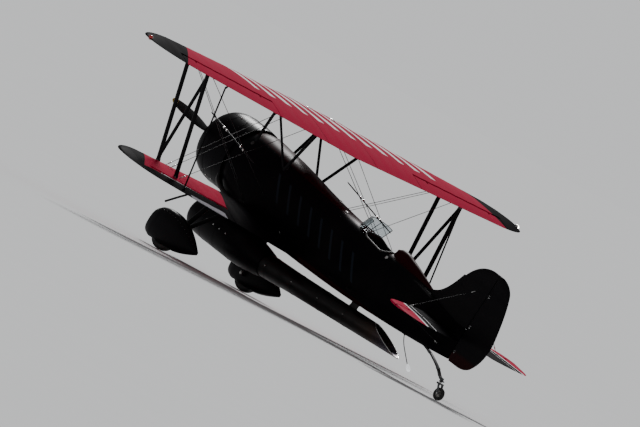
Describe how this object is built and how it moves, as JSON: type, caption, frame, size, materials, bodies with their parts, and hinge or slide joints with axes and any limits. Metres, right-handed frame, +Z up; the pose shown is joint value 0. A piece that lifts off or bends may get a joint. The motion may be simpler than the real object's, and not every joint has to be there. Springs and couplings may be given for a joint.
{
  "type": "taper-wing open-cockpit biplane with a jet pod",
  "caption": "Open-cockpit biplane with tapered wings, ring-cowled radial engine, spatted wheels, hinged control surfaces and a jet pod with a long tailpipe under the belly.",
  "frame": {"origin": "on the ground, under the middle of the overall length and span", "axes": "+X forward to the nose, +Y to the left wing tip, +Z up; the aircraft stands on its three wheels"},
  "size_m": [7.4952, 9.22, 3.0179],
  "materials": {
    "red_paint": "glossy deep red paint over fabric",
    "black_paint": "glossy near-black paint",
    "steel": "heat-stained steel",
    "cast_metal": "cast and machined metal",
    "tyre": "matt black rubber",
    "clear_panel": "clear bent panel",
    "leather": "worn brown leather",
    "blade_metal": "satin dark blade with a pale tip"
  },
  "bodies": {
    "airframe": {"fuselage": "black_paint", "headrest_fairing": "black_paint", "windshield": "clear_panel", "instrument_panel": "black_paint", "seat": "leather", "control_stick": "cast_metal", "engine_cowl": "black_paint", "radial_engine": "cast_metal", "wing_centre": "red_paint", "fin": "black_paint", "jet_pod": "black_paint", "jet_engine": "cast_metal", "pod_pylon": "black_paint", "tailpipe": "steel", "tail_spring": "cast_metal", "upper_wing_left": "red_paint", "lower_wing_left": "red_paint", "wing_struts_left": "black_paint", "cabane_struts_left": "black_paint", "flying_wire_left": "steel", "landing_wire_left": "steel", "gear_leg_left": "black_paint", "wheel_spat_left": "black_paint", "stabilizer_left": "red_paint", "upper_wing_right": "red_paint", "lower_wing_right": "red_paint", "wing_struts_right": "black_paint", "cabane_struts_right": "black_paint", "flying_wire_right": "steel", "landing_wire_right": "steel", "gear_leg_right": "black_paint", "wheel_spat_right": "black_paint", "stabilizer_right": "red_paint"},
    "propeller": {"propeller": "blade_metal"},
    "tail_fork": {"tail_fork": "cast_metal"},
    "tail_wheel": {"tail_tyre": "tyre", "tail_hub": "cast_metal"},
    "rudder": {"rudder": "black_paint"},
    "elevators": {"elevator_left": "red_paint", "elevator_right": "red_paint"},
    "wheel_left": {"main_tyre_left": "tyre", "main_hub_left": "cast_metal"},
    "upper_aileron_left": {"upper_aileron_left": "red_paint"},
    "lower_aileron_left": {"lower_aileron_left": "red_paint"},
    "aileron_link_left": {"aileron_link_left": "black_paint"},
    "wheel_right": {"main_tyre_right": "tyre", "main_hub_right": "cast_metal"},
    "upper_aileron_right": {"upper_aileron_right": "red_paint"},
    "lower_aileron_right": {"lower_aileron_right": "red_paint"},
    "aileron_link_right": {"aileron_link_right": "black_paint"}
  },
  "joints": [
    {"name": "propeller_spin", "type": "hinge", "parent": "airframe", "child": "propeller", "pos_m": [3.559, 0, 1.92816], "axis": [0.9928, 0, 0.1196], "continuous": true},
    {"name": "tail_fork_steer", "type": "hinge", "parent": "airframe", "child": "tail_fork", "pos_m": [-3.13548, 0, 0.26771], "axis": [0, 0, 1], "range_deg": [-30, 30]},
    {"name": "tail_wheel_spin", "type": "hinge", "parent": "tail_fork", "child": "tail_wheel", "pos_m": [-3.22119, 0, 0.10127], "axis": [0, 1, 0], "continuous": true},
    {"name": "rudder_turn", "type": "hinge", "parent": "airframe", "child": "rudder", "pos_m": [-3.13263, 0, 1.12218], "axis": [-0.1196, 0, 0.9928], "range_deg": [-30, 30]},
    {"name": "elevator_turn", "type": "hinge", "parent": "airframe", "child": "elevators", "pos_m": [-2.95824, 0, 1.01225], "axis": [0, 1, 0], "range_deg": [-22, 28]},
    {"name": "wheel_spin_left", "type": "hinge", "parent": "airframe", "child": "wheel_left", "pos_m": [2.48108, 1.03, 0.25727], "axis": [0, 1, 0], "continuous": true},
    {"name": "lower_aileron_turn_left", "type": "hinge", "parent": "airframe", "child": "lower_aileron_left", "pos_m": [0.86621, 1.75, 1.02165], "axis": [0.0148, 0.9994, 0.0302], "range_deg": [-22, 22]},
    {"name": "upper_aileron_turn_left", "type": "hinge", "parent": "airframe", "child": "upper_aileron_left", "pos_m": [1.07979, 1.75, 2.78776], "axis": [0.0113, 0.9998, 0.0133], "range_deg": [-22, 22]},
    {"name": "aileron_link_turn_left", "type": "hinge", "parent": "lower_aileron_left", "child": "aileron_link_left", "pos_m": [0.75984, 2.93, 1.06552], "axis": [0.0148, 0.9994, 0.0302], "range_deg": [-24, 24]},
    {"name": "wheel_spin_right", "type": "hinge", "parent": "airframe", "child": "wheel_right", "pos_m": [2.48108, -1.03, 0.25727], "axis": [0, 1, 0], "continuous": true},
    {"name": "lower_aileron_turn_right", "type": "hinge", "parent": "airframe", "child": "lower_aileron_right", "pos_m": [0.86621, -1.75, 1.02165], "axis": [-0.0148, 0.9994, -0.0302], "range_deg": [-22, 22]},
    {"name": "upper_aileron_turn_right", "type": "hinge", "parent": "airframe", "child": "upper_aileron_right", "pos_m": [1.07979, -1.75, 2.78776], "axis": [-0.0113, 0.9998, -0.0133], "range_deg": [-22, 22]},
    {"name": "aileron_link_turn_right", "type": "hinge", "parent": "lower_aileron_right", "child": "aileron_link_right", "pos_m": [0.75984, -2.93, 1.06552], "axis": [-0.0148, 0.9994, -0.0302], "range_deg": [-24, 24]}
  ],
  "couplings": [
    {"joint": "upper_aileron_turn_left", "follows": "lower_aileron_turn_left", "ratio": 1},
    {"joint": "aileron_link_turn_left", "follows": "lower_aileron_turn_left", "ratio": -1.07},
    {"joint": "lower_aileron_turn_right", "follows": "lower_aileron_turn_left", "ratio": -1},
    {"joint": "upper_aileron_turn_right", "follows": "lower_aileron_turn_left", "ratio": -1},
    {"joint": "aileron_link_turn_right", "follows": "lower_aileron_turn_left", "ratio": 1.07}
  ]
}
